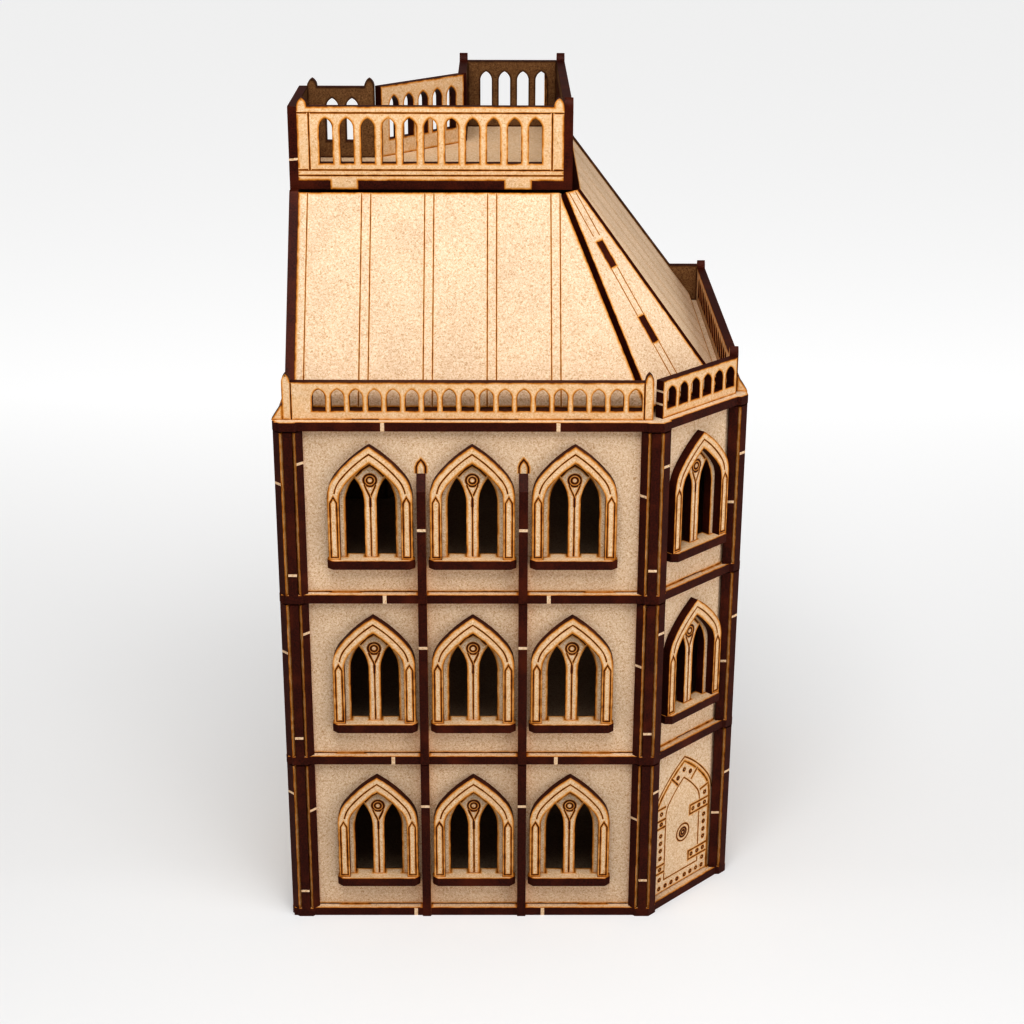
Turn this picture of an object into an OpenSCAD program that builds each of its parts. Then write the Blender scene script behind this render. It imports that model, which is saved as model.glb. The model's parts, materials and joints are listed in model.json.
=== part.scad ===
// Gothic corner building for tabletop games, cut from flat sheet and slotted together.
// Three identical storeys and a roof stack on one another and lift off for access to the rooms.
// Plan axes: X along the front wall, Y towards the back, Z up, origin under the middle of the base.

/* [Sheet] */
// Thickness of the fibreboard that every piece is cut from
sheet = 3.4; // [3:0.1:3.6]
// Play around a piece that is meant to come out
kerf = 0.2; // [0.1:0.05:0.3]

/* [Storeys] */
// Height from one floor plate to the next
storey_h = 70; // [68:1:76]
// Length of the front wall, and of the right wall, between turret centres
front_w = 137.5; // [136:0.5:150]
// How far the door corner is cut back along the front and along the side
corner_cut = 32.2; // [31:0.1:34]
// Ledge of each floor plate outside the wall's centre line
ledge = 4.9; // [4.5:0.1:5.2]
// Free gap between the turret strips and the plate above
lift_gap = 0.6; // [0.3:0.1:1]

/* [Turrets] */
// Half width of the octagonal pad under each turret
pad_r = 5.7; // [5.4:0.1:6]
// Corner cut of that octagon
pad_cut = 2.9; // [2.6:0.1:3.2]

/* [Back step] */
// Width of the rear wing, from the right wall to the inside wall
wing_w = 106.5; // [100:0.5:110]
// Depth of the left wall
left_d = 100.3; // [96:0.1:104]
// Size of the slanted inside corner
inner_cut = 33.8; // [30:0.1:36]

/* [Windows] */
// Distance between the windows of one wall
window_pitch = 38.65; // [38:0.05:40]
// Outer width of a window frame
frame_w = 32.2; // [31:0.1:33]
// Width of the frame's own border
frame_border = 4.5; // [4:0.1:5]
// Height of the frame's foot above the plate's underside
frame_foot = 18.2; // [17:0.1:19]
// Height where the frame's arch starts
frame_spring = 43.4; // [41:0.2:44]
// How much lower the arch of the frame's opening starts
frame_drop = 1.2; // [0:0.1:2]
// Width of one light
light_w = 7.05; // [6.5:0.05:7.4]
// Distance of each light's middle from the window's middle
light_x = 5.9; // [5.7:0.1:6.1]
// Height where a light's arch starts
light_spring = 40.3; // [38:0.1:41]
// Rise of a light's arch
light_rise = 10; // [8:0.1:10.5]
// Width of a sill
sill_w = 33.4; // [33:0.1:34]
// How far a sill stands out from the wall's face
sill_out = 4.8; // [4.6:0.1:5.4]

/* [Door] */
// Width of the door leaf
door_w = 33.6; // [32:0.1:34]
// Height where the leaf's arch starts
door_spring = 39; // [37:0.5:41]

/* [Roof] */
// Height of the top of the cornice parapets above the cornice plate
parapet_h = 14.6; // [13:0.1:16]
// Height of the look-out deck's upper face
deck_z = 291.6; // [285:0.1:295]
// Distance of the deck's front edge behind the front wall's centre line
deck_y = 53.7; // [50:0.1:56]
// X of the deck's right edge
deck_x = 106.9; // [104:0.1:108]
// Height of the roof slopes' lower edge
eave_z = 216.2; // [215.5:0.1:217]
// Distance of that edge inside the wall's centre line
eave_in = 4.9; // [4.5:0.1:5.5]
// Height of the deck railing
rail_h = 28.3; // [26:0.1:30]

/* [Hidden] */
$fn = 64;

// Turn of the arches' haunches, and of their crowns, from upright
haunch = 38;
crown = 58;

mdf = [0.80, 0.70, 0.53];
mdf_pale = [0.90, 0.81, 0.63];
mdf_burnt = [0.30, 0.17, 0.14];

half = sheet / 2;
side_x = front_w + corner_cut;
back_y = front_w + corner_cut;
inner_x = side_x - wing_w;
// Wall centre lines, anticlockwise from the front-left turret
P1 = [0, 0];
P2 = [front_w, 0];
P3 = [side_x, corner_cut];
P4 = [side_x, back_y];
P5 = [inner_x, back_y];
P6 = [inner_x, left_d + inner_cut];
P7 = [inner_x - inner_cut, left_d];
P8 = [0, left_d];
PLAN = [P1, P2, P3, P4, P5, P6, P7, P8];
corner_len = norm(P3 - P2);
door_mid = corner_len / 2;
sill_edge = half + sill_out;
// The frame's origin is under the middle of the whole object
mid_x = (side_x + sill_edge - pad_r) / 2;
mid_y = (back_y + pad_r - sill_edge) / 2;

cornice_z = 3 * storey_h;
loft_z = cornice_z + sheet;
deck_under = deck_z - sheet;
rise = deck_z - eave_z;
slope_top = (deck_under - 0.6 - eave_z) / rise;
window_xs = [for (i = [-1:1]) front_w / 2 + i * window_pitch];
pilaster_xs = [for (i = [-0.5, 0.5]) front_w / 2 + i * window_pitch];
tab_w = 10.8;
// Half the glue line between pieces that meet edge to edge
glue = 0.03;
// Gap between neighbouring slopes, which keeps their lower corners apart
groove = 0.4 * sheet;
// Shortening of a railing where it meets its neighbour at 45 degrees
mitre = half * tan(22.5) + 0.1;

// Hip lines of the roof: where the slopes meet, at the eave and at the deck's height
hip_a0 = [front_w - eave_in * tan(22.5), eave_in];
hip_b0 = [side_x - eave_in, corner_cut + eave_in * tan(22.5)];
hip_a1 = [deck_x - 5.4, deck_y];
hip_b1 = [deck_x, deck_y + 5.4];

function unit(v) = v / norm(v);
function out_of(a, b) = let (u = unit(b - a)) [u[1], -u[0]];
// A closed outline moved outwards by d, with mitred corners
function moved(p, d) = [for (i = [0:len(p) - 1])
    let (n = len(p), a = p[(i + n - 1) % n], b = p[i], c = p[(i + 1) % n],
        m = out_of(a, b), k = out_of(b, c))
    b + d * (m + k) / (1 + m * k)];
// A plan point seen from the line that runs from a to b: along it, and inwards from it
function along(a, b, p) = let (u = unit(b - a), v = p - a) [v * u, v * [-u[1], u[0]]];
function between(a, b, t) = a + (b - a) * t;

module place() {
    translate([-mid_x, -mid_y, 0]) children();
}

// Puts children on a wall: X along it, -Y out of the building
module on_wall(a, b) {
    translate([a[0], a[1], 0])
        rotate([0, 0, atan2(b[1] - a[1], b[0] - a[0])]) children();
}

// Stands a flat outline up in the wall, from y0 to y1
module upright(y0, y1) {
    translate([0, y1, 0]) rotate([90, 0, 0]) linear_extrude(y1 - y0) children();
}

// Pointed arch with straight sides: width, foot, start of the arch and rise
module pointed(w, foot, spring, arch_rise) {
    c = (arch_rise * arch_rise - w * w / 4) / w;
    translate([-w / 2, foot]) square([w, spring - foot]);
    intersection() {
        translate([-c, spring]) circle(w / 2 + c);
        translate([c, spring]) circle(w / 2 + c);
        translate([-w / 2, spring]) square([w, arch_rise]);
    }
}

// Right half of an arch with a tight haunch and a flat crown that still comes to a point.
// It starts at width w and is drawn in by d; the points run upwards.
function arch_side(w, d) = let (
    r1 = 0.45 * w, x1 = w / 2 - r1,
    r2 = (x1 + r1 * cos(haunch)) / (cos(haunch) - cos(crown)),
    x2 = x1 + (r1 - r2) * cos(haunch), y2 = (r1 - r2) * sin(haunch),
    last = acos(-x2 / (r2 - d)), n = 9)
    concat(
        [for (i = [0:n - 1]) let (a = haunch * i / n)
            [x1 + (r1 - d) * cos(a), (r1 - d) * sin(a)]],
        [for (i = [0:n]) let (a = haunch + (last - haunch) * i / n)
            [x2 + (r2 - d) * cos(a), y2 + (r2 - d) * sin(a)]]);

module arch(w, foot, spring, d) {
    side = arch_side(w, d);
    n = len(side) - 1;
    polygon(concat(
        [[w / 2 - d, foot]],
        [for (p = side) [p[0], spring + p[1]]],
        [for (i = [1:n]) [-side[n - i][0], spring + side[n - i][1]]],
        [[d - w / 2, foot]]));
}

module pad() {
    a = pad_r;
    b = pad_r - pad_cut;
    polygon([[-b, -a], [b, -a], [a, -b], [a, b], [b, a], [-b, a], [-a, b], [-a, -b]]);
}

// Plan outline of wall i, mitred at both ends, with the glue line left open
module wall_plan(i) {
    outer = moved(PLAN, half);
    inner = moved(PLAN, -half);
    j = (i + 1) % len(PLAN);
    u = unit(PLAN[j] - PLAN[i]) * glue;
    polygon([outer[i] + u, outer[j] - u, inner[j] - u, inner[i] + u]);
}

// Two tabs under wall i, which pass through the floor plate; beside a doorway they stay narrow
module wall_tabs(i, doorway) {
    a = PLAN[i];
    b = PLAN[(i + 1) % len(PLAN)];
    l = norm(b - a);
    inset = doorway ? 3.2 : l > 60 ? 0.145 * l : l / 4;
    w = doorway ? 4.4 : min(tab_w, l / 4);
    for (x = [inset, l - inset])
        on_wall(a, b) translate([x - w / 2, glue - half, 0])
            cube([w, sheet - 2 * glue, sheet + 1]);
}

module wall(i, base, doorway = false) {
    translate([0, 0, base]) {
        translate([0, 0, sheet]) linear_extrude(storey_h - sheet) wall_plan(i);
        wall_tabs(i, doorway);
    }
}

// The two lights of one window, cut down to the sill's tabs
module lights(base) {
    for (s = [-1, 1]) translate([s * light_x, base])
        pointed(light_w, frame_foot - sheet, light_spring, light_rise);
}

module windowed_wall(i, base, xs) {
    difference() {
        wall(i, base);
        on_wall(PLAN[i], PLAN[i + 1]) for (x = xs)
            translate([x, 0, 0]) upright(-half - 1, half + 1) lights(base);
    }
}

module floor_outline() {
    polygon(moved(PLAN, ledge));
    for (p = [P1, P2, P3, P4]) translate(p) pad();
}

module floor_plate(base, notched) {
    difference() {
        translate([0, 0, base]) linear_extrude(sheet) floor_outline();
        if (notched) {
            for (i = [0:len(PLAN) - 1])
                translate([0, 0, base]) wall_tabs(i, i == 1 && base == 0);
            for (w = [[P1, P2], [P3, P4]]) on_wall(w[0], w[1]) for (x = pilaster_xs)
                translate([x - half, -pad_r, base - 1]) cube([sheet, pad_r - half, sheet + 2]);
        }
    }
}

// Plate under a floor that drops inside the walls of the storey below
module locating_plate(base) {
    translate([0, 0, base - sheet]) linear_extrude(sheet) polygon(moved(PLAN, -half - 0.5));
}

// Strip that stands out of a turret in direction a, measured from straight ahead
module strip_plan(a, extra) {
    intersection() {
        rotate(a) translate([-half - extra, -pad_r - pad_cut])
            square([sheet + 2 * extra, pad_r + pad_cut]);
        pad();
    }
}

module turret(p, angles, base) {
    translate([0, 0, base + sheet]) for (a = angles)
        linear_extrude(storey_h - sheet - lift_gap) difference() {
            translate(p) strip_plan(a, 0);
            polygon(moved(PLAN, half));
            if (a % 90 != 0) translate(p) {
                strip_plan(a - 45, 2 * glue);
                strip_plan(a + 45, 2 * glue);
            }
        }
}

module turret_strips(base) {
    turret(P1, [-135, -90, -45, 0, 45], base);
    turret(P2, [-45, 0, 45, 90], base);
    turret(P3, [0, 45, 90, 135], base);
    turret(P4, [45, 90, 135, 180, 225], base);
}

// One buttress strip; the top storey's ends in a slanted cap
module pilaster(base, capped) {
    tall = storey_h - 0.4;
    top_out = capped ? 46.2 : tall;
    top_in = capped ? 52.2 : tall;
    translate([-half, 0, base]) rotate([90, 0, 90]) linear_extrude(sheet)
        polygon([[-pad_r, 0], [-half, 0], [-half, top_in], [-pad_r, top_out]]);
}

module pilasters(base, capped) {
    for (w = [[P1, P2], [P3, P4]]) on_wall(w[0], w[1]) for (x = pilaster_xs)
        translate([x, 0, 0]) pilaster(base, capped);
}

module window_frame(base) {
    upright(-half - sheet, -half) translate([0, base]) difference() {
        arch(frame_w, frame_foot, frame_spring, 0);
        arch(frame_w, frame_foot - 1, frame_spring - frame_drop, frame_border);
    }
}

module window_sill(base) {
    w = sill_w / 2;
    c = 2.1;
    translate([0, 0, base + frame_foot - sheet]) linear_extrude(sheet) {
        polygon([[-w, -half], [-w, c - sill_edge], [c - w, -sill_edge],
            [w - c, -sill_edge], [w, c - sill_edge], [w, -half]]);
        for (s = [-1, 1]) translate([s * light_x - light_w / 2, -half - 0.01])
            square([light_w, sheet + 0.01]);
    }
}

// Repeats a window piece along the front, the right and, if asked, the corner
module each_window(corner) {
    for (w = [[P1, P2], [P3, P4]]) on_wall(w[0], w[1]) for (x = window_xs)
        translate([x, 0, 0]) children();
    if (corner) on_wall(P2, P3) translate([door_mid, 0, 0]) children();
}

module door_shape(foot, play) {
    arch(door_w, foot, door_spring, -play);
}

module back_walls(base) {
    for (i = [4, 5, 6]) wall(i, base);
}

// Railing outline: from x0 to x1, foot at z = 0, with a row of pointed openings
module rail_2d(x0, x1, h, first, count, pitch, w, foot, spring, arch_rise, posts, post_w) {
    difference() {
        translate([x0, 0]) square([x1 - x0, h]);
        for (i = [0:count - 1]) translate([first + i * pitch, 0])
            pointed(w, foot, spring, arch_rise);
    }
    for (x = posts) translate([x, 0]) pointed(post_w, h - 1, h, 3.3);
}

module cornice_rail(x0, x1, first, count, posts) {
    upright(-half, half) translate([0, loft_z])
        rail_2d(x0, x1, parapet_h, first, count, 6.93, 4.8, 3.6, 8.6, 3.3, posts, 3.2);
}

// Parapet of the front; the right one is the same piece turned over
module long_parapet() {
    cornice_rail(-1.9, front_w - 1.2, 11.8, 18, [-0.3, front_w - 2.8]);
}

module bracket(base) {
    translate([0, 0, base]) rotate([90, 0, 0]) linear_extrude(sheet)
        polygon([[0, 0], [4.2, 0], [3, 2], [0, 6.5]]);
}

module slope(run, shape) {
    translate([0, eave_in, eave_z]) rotate([atan(rise / run), 0, 0])
        translate([0, 0, -sheet]) linear_extrude(sheet) polygon(shape);
}

// Plan distance from the eave to the deck, for each slope
run_front = deck_y - eave_in;
run_right = side_x - deck_x - eave_in;
run_corner = along(P2, P3, hip_a1)[1] - eave_in;
function slope_len(run) = norm([run, rise]) * slope_top;

module front_slope_panel() {
    top = between(hip_a0, hip_a1, slope_top)[0];
    len = slope_len(run_front);
    slope(run_front, [[half, 0], [hip_a0[0] - groove, 0], [top - groove, len], [half, len]]);
}

module right_slope_panel() {
    top = between(hip_b0, hip_b1, slope_top)[1] - corner_cut;
    len = slope_len(run_right);
    end = back_y - corner_cut - half;
    slope(run_right, [[hip_b0[1] - corner_cut + groove, 0], [end, 0], [end, len],
        [top + groove, len]]);
}

// Foot and head of the rib's line under the corner slope, seen from the corner wall
rib_foot = [(along(P2, P3, hip_a0)[0] + along(P2, P3, hip_b0)[0]) / 2, eave_in];
rib_head = [(along(P2, P3, hip_a1)[0] + along(P2, P3, hip_b1)[0]) / 2, run_corner + eave_in];
rib_run = norm(rib_head - rib_foot);
function over(s) = eave_z + s * rise / rib_run;
function under(s) = over(s) - sheet * norm([run_corner, rise]) / run_corner;

module on_rib() {
    on_wall(P2, P3) translate([rib_foot[0], rib_foot[1], 0])
        rotate([0, 0, atan2(rib_head[1] - rib_foot[1], rib_head[0] - rib_foot[0])]) children();
}

// Tabs of the rib that show in the corner slope's slots
module rib_tabs(low, high) {
    on_rib() for (t = [0.308, 0.654]) {
        a = rib_run * t - 3.4;
        b = rib_run * t + 3.4;
        upright(-half, half) polygon([[a, under(a) - low], [b, under(b) - low],
            [b, over(b) + high], [a, over(a) + high]]);
    }
}

module corner_slope_panel() {
    base_a = along(P2, P3, hip_a0)[0];
    base_b = along(P2, P3, hip_b0)[0];
    top_a = along(P2, P3, between(hip_a0, hip_a1, slope_top))[0];
    top_b = along(P2, P3, between(hip_b0, hip_b1, slope_top))[0];
    len = slope_len(run_corner);
    difference() {
        on_wall(P2, P3) slope(run_corner, [[base_a + groove, 0], [base_b - groove, 0],
            [top_b - groove, len], [top_a + groove, len]]);
        rib_tabs(2, 2);
    }
}

deck_mid_y = deck_y + half;
deck_mid_x = deck_x - half;
DECK = [[0, deck_mid_y], [deck_mid_x, deck_mid_y], [deck_mid_x, back_y], P5, P6, P7, P8];
deck_tab_w = 10.7;
deck_tabs = [deck_mid_x / 2 - 33.4, deck_mid_x / 2 + 33.4];

// Railing panel of the deck, standing on it
module deck_rail(x0, x1, first, count, posts) {
    upright(-half, half) translate([0, deck_z])
        rail_2d(x0, x1, rail_h, first, count, 8, 5, 6.7, 20.1, 3.8, posts, 4);
}

module deck_tab_blocks() {
    for (x = deck_tabs) translate([x - deck_tab_w / 2, deck_y, deck_under])
        cube([deck_tab_w, sheet, sheet]);
}

module ground_floor_plate() { color(mdf) place() floor_plate(0, true); }
module middle_floor_plate() { color(mdf) place() floor_plate(storey_h, true); }
module top_floor_plate() { color(mdf) place() floor_plate(2 * storey_h, true); }
module cornice_plate() { color(mdf) place() floor_plate(cornice_z, false); }

module middle_locating_plate() { color(mdf) place() locating_plate(storey_h); }
module top_locating_plate() { color(mdf) place() locating_plate(2 * storey_h); }
module roof_locating_plate() { color(mdf) place() locating_plate(cornice_z); }

module ground_front_wall() { color(mdf) place() windowed_wall(0, 0, window_xs); }
module middle_front_wall() { color(mdf) place() windowed_wall(0, storey_h, window_xs); }
module top_front_wall() { color(mdf) place() windowed_wall(0, 2 * storey_h, window_xs); }

module ground_corner_wall() {
    color(mdf) place() difference() {
        wall(1, 0, true);
        on_wall(P2, P3) translate([door_mid, 0, 0]) upright(-half - 1, half + 1)
            door_shape(sheet - 1, kerf);
    }
}
module middle_corner_wall() { color(mdf) place() windowed_wall(1, storey_h, [door_mid]); }
module top_corner_wall() { color(mdf) place() windowed_wall(1, 2 * storey_h, [door_mid]); }

module ground_right_wall() { color(mdf) place() windowed_wall(2, 0, window_xs); }
module middle_right_wall() { color(mdf) place() windowed_wall(2, storey_h, window_xs); }
module top_right_wall() { color(mdf) place() windowed_wall(2, 2 * storey_h, window_xs); }

module ground_rear_wall() { color(mdf) place() wall(3, 0); }
module middle_rear_wall() { color(mdf) place() wall(3, storey_h); }
module top_rear_wall() { color(mdf) place() wall(3, 2 * storey_h); }

module ground_left_wall() { color(mdf) place() wall(7, 0); }
module middle_left_wall() { color(mdf) place() wall(7, storey_h); }
module top_left_wall() { color(mdf) place() wall(7, 2 * storey_h); }

module ground_back_walls() { color(mdf) place() back_walls(0); }
module middle_back_walls() { color(mdf) place() back_walls(storey_h); }
module top_back_walls() { color(mdf) place() back_walls(2 * storey_h); }

module ground_turret_strips() { color(mdf_burnt) place() turret_strips(0); }
module middle_turret_strips() { color(mdf_burnt) place() turret_strips(storey_h); }
module top_turret_strips() { color(mdf_burnt) place() turret_strips(2 * storey_h); }

module ground_pilasters() { color(mdf_burnt) place() pilasters(0, false); }
module middle_pilasters() { color(mdf_burnt) place() pilasters(storey_h, false); }
module top_pilasters() { color(mdf_burnt) place() pilasters(2 * storey_h, true); }

module ground_window_frames() {
    color(mdf_pale) place() each_window(false) window_frame(0);
}
module middle_window_frames() {
    color(mdf_pale) place() each_window(true) window_frame(storey_h);
}
module top_window_frames() {
    color(mdf_pale) place() each_window(true) window_frame(2 * storey_h);
}

module ground_window_sills() {
    color(mdf_burnt) place() each_window(false) window_sill(0);
}
module middle_window_sills() {
    color(mdf_burnt) place() each_window(true) window_sill(storey_h);
}
module top_window_sills() {
    color(mdf_burnt) place() each_window(true) window_sill(2 * storey_h);
}

// Loose leaf in the corner doorway, pulled out by hand
module door_leaf() {
    color(mdf_pale) place() on_wall(P2, P3) translate([door_mid, 0, 0])
        upright(-half, half) door_shape(sheet + kerf, 0);
}

module front_parapet() { color(mdf_pale) place() long_parapet(); }
module right_parapet() {
    color(mdf_pale) place() on_wall(P3, P4) translate([front_w, 0, 0])
        mirror([1, 0, 0]) long_parapet();
}
module corner_parapet() {
    color(mdf_pale) place() on_wall(P2, P3) cornice_rail(1.7, 45.4, 6.6, 6, []);
}
module parapet_brackets() {
    color(mdf_pale) place() {
        translate([-1.9, half, 0]) mirror([1, 0, 0]) bracket(loft_z);
        translate([side_x + half, corner_cut + 4.8, 0]) bracket(loft_z);
    }
}

// Upright end of the roof on the left, standing a little proud of the front slope
module left_gable() {
    proud = 0.9;
    foot = eave_in - proud - (eave_z - loft_z) * run_front / rise;
    head = eave_in - proud + (deck_under - eave_z) * run_front / rise;
    color(mdf) place() translate([-half, 0, 0]) rotate([90, 0, 90]) linear_extrude(sheet)
        polygon([[foot, loft_z], [left_d - half, loft_z], [left_d - half, deck_under],
            [head, deck_under]]);
}

// Upright end of the roof at the back, with a shoulder that meets the right parapet
module rear_gable() {
    proud = 1;
    shoulder = loft_z + parapet_h + 1.4;
    top_x = deck_x + sheet * run_right / rise + proud;
    low_x = deck_x + (deck_z - shoulder) * run_right / rise + proud;
    color(mdf) place() translate([0, back_y, 0]) upright(-half, half)
        polygon([[inner_x - half, loft_z], [side_x - half, loft_z], [side_x - half, shoulder],
            [low_x, shoulder], [top_x, deck_under], [inner_x - half, deck_under]]);
}

// The same three back-step walls, carried up to the deck between the two gables
module roof_back_walls() {
    color(mdf) place() translate([0, 0, loft_z]) linear_extrude(deck_under - loft_z)
        difference() {
            for (i = [4, 5, 6]) wall_plan(i);
            translate([inner_x - sheet, back_y - half]) square([2 * sheet, sheet]);
            translate([-half - 1, left_d - half - 1]) square([half + 1, 1]);
        }
}

// Upright rib under the corner slope; its top edge stays just clear of the slope's underside
module roof_rib() {
    clear = 0.25;
    head = rib_run - 3;
    foot = (loft_z + clear - under(0)) * rib_run / rise;
    color(mdf) place() {
        on_rib() upright(-half, half)
            polygon([[foot, loft_z], [head, loft_z], [head, under(head) - clear]]);
        rib_tabs(1, 0);
    }
}

module front_slope() { color(mdf_pale) place() front_slope_panel(); }
module corner_slope() { color(mdf_pale) place() corner_slope_panel(); }
module right_slope() { color(mdf_pale) place() on_wall(P3, P4) right_slope_panel(); }

module deck_plate() {
    color(mdf) place() difference() {
        translate([0, 0, deck_under]) linear_extrude(sheet) polygon(moved(DECK, half));
        deck_tab_blocks();
    }
}

module deck_front_rail() {
    mid = deck_mid_x / 2;
    color(mdf_pale) place() {
        translate([0, deck_mid_y, 0])
            deck_rail(half, deck_mid_x - half, mid - 40, 11, [half + 2, deck_mid_x - half - 2]);
        deck_tab_blocks();
    }
}
module deck_left_rail() {
    color(mdf_pale) place() on_wall(P8, [0, 0])
        deck_rail(-half, left_d - deck_y, 7.4, 5, []);
}
module deck_right_rail() {
    color(mdf_pale) place() on_wall([deck_mid_x, deck_y], [deck_mid_x, back_y])
        deck_rail(0, back_y - deck_y + half, 10, 13, [2, back_y - deck_y + half - 2]);
}
module deck_rear_rail() {
    color(mdf_pale) place() on_wall([deck_mid_x, back_y], P5)
        deck_rail(half, deck_mid_x - inner_x - half, 8.3, 4, []);
}
module deck_wing_rail() {
    color(mdf_pale) place() on_wall(P5, P6)
        deck_rail(-half, norm(P6 - P5) - mitre, 6.6, 4, [0.5]);
}
module deck_slanted_rail() {
    color(mdf_pale) place() on_wall(P6, P7) deck_rail(mitre, norm(P7 - P6) - mitre, 8, 5, []);
}
module deck_back_rail() {
    color(mdf_pale) place() on_wall(P7, P8)
        deck_rail(mitre, P7[0] - half, 9.8, 2, [2.8, P7[0] - half - 2]);
}
ground_floor_plate();
ground_front_wall();
ground_corner_wall();
ground_right_wall();
ground_rear_wall();
ground_left_wall();
ground_back_walls();
ground_turret_strips();
ground_pilasters();
ground_window_frames();
ground_window_sills();
door_leaf();
middle_floor_plate();
middle_locating_plate();
middle_front_wall();
middle_corner_wall();
middle_right_wall();
middle_rear_wall();
middle_left_wall();
middle_back_walls();
middle_turret_strips();
middle_pilasters();
middle_window_frames();
middle_window_sills();
top_floor_plate();
top_locating_plate();
top_front_wall();
top_corner_wall();
top_right_wall();
top_rear_wall();
top_left_wall();
top_back_walls();
top_turret_strips();
top_pilasters();
top_window_frames();
top_window_sills();
cornice_plate();
roof_locating_plate();
front_parapet();
corner_parapet();
right_parapet();
parapet_brackets();
left_gable();
rear_gable();
roof_back_walls();
roof_rib();
front_slope();
corner_slope();
right_slope();
deck_plate();
deck_front_rail();
deck_left_rail();
deck_right_rail();
deck_rear_rail();
deck_back_rail();
deck_slanted_rail();
deck_wing_rail();
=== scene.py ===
import json
import math

import bmesh
import bpy
from mathutils import Matrix, Vector

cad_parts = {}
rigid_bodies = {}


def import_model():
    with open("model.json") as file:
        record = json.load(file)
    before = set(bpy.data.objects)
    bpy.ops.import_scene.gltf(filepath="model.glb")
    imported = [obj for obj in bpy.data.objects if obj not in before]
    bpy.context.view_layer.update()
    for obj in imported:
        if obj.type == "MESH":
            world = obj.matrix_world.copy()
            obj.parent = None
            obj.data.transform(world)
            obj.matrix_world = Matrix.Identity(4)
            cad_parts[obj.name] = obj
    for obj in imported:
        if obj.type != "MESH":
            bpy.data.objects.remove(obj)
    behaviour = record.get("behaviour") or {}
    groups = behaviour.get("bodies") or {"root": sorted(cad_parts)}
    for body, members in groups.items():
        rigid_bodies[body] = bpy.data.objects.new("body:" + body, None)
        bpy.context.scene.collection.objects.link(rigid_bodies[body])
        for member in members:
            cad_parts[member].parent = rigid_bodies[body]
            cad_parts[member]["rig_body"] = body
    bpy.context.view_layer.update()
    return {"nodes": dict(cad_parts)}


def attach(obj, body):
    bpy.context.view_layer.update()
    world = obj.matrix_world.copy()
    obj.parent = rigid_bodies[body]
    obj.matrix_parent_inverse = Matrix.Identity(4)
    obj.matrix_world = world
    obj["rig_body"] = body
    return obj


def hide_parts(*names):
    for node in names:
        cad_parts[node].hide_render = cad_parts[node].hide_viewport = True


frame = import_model()
scene = bpy.context.scene


# ---- Camera -------------------------------------------------------------------------
# A long lens in front of the building, a little above the roof. It looks down so that the
# window sills and the look-out deck show their upper faces.
MM = 0.001        # a millimetre in the scene's metres
cam_data = bpy.data.cameras.new("camera")
cam_data.sensor_width = 36
cam_data.lens = 69.05
cam_data.clip_start = 0.01
camera = bpy.data.objects.new("camera", cam_data)
scene.collection.objects.link(camera)
scene.camera = camera

CAMERA_PLACE = Vector((-5.91, -780.0, 449.2)) * MM
CAMERA_TURN = math.radians(0.364)
CAMERA_TILT = math.radians(21.445)
CAMERA_ROLL = math.radians(-0.198)
camera.matrix_world = (
    Matrix.Translation(CAMERA_PLACE)
    @ Matrix.Rotation(-CAMERA_TURN, 4, "Z")
    @ Matrix.Rotation(math.radians(90) - CAMERA_TILT, 4, "X")
    @ Matrix.Rotation(-CAMERA_ROLL, 4, "Z")
)


# ---- Floor plates -------------------------------------------------------------------
# Each storey stands on a plate of medium-density fibreboard with an eight-sided pad under
# every turret. It is laser-cut, so its edges are charred and its faces are scorched along
# every cut. The walls' tabs are glued into its slots, and a smaller plate glued underneath
# drops inside the walls of the storey below.
SHEET = 3.4       # thickness of the board, mm
PROUD = 0.03      # how far a burnt line stands off the board it is drawn on, mm
STEP = 0.00002    # how much further out each later line lies, for each corner drawn before it
SCORCH = 1.3      # usual width over which the scorch beside a cut fades, mm
SNAP_WIDTH = 1.5  # length along a plate's edge of the mark left by a snapped bridge, mm


def linear(hex_colour, alpha=1.0):
    """An sRGB hex colour as the linear values that the shaders take."""
    parts = [int(hex_colour[i:i + 2], 16) / 255 for i in (1, 3, 5)]
    return [p / 12.92 if p <= 0.04045 else ((p + 0.055) / 1.055) ** 2.4 for p in parts] + [alpha]


def add_node(tree, kind, settings=(), **inputs):
    """Adds a node, sets its properties, and fills or links its sockets by name or number."""
    node = tree.nodes.new(kind)
    for key, value in dict(settings).items():
        setattr(node, key, value)
    for key, value in inputs.items():
        number = key[1:]
        socket = node.inputs[int(number) if number.isdigit() else key.replace("_", " ")]
        if isinstance(value, bpy.types.NodeSocket):
            tree.links.new(value, socket)
        else:
            socket.default_value = value
    return node


def set_ramp(node, stops):
    """Gives a colour ramp its stops, each a position and a colour."""
    ramp = node.color_ramp
    while len(ramp.elements) < len(stops):
        ramp.elements.new(1.0)
    for element, (position, colour) in zip(ramp.elements, stops):
        element.position = position
        element.color = colour


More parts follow.
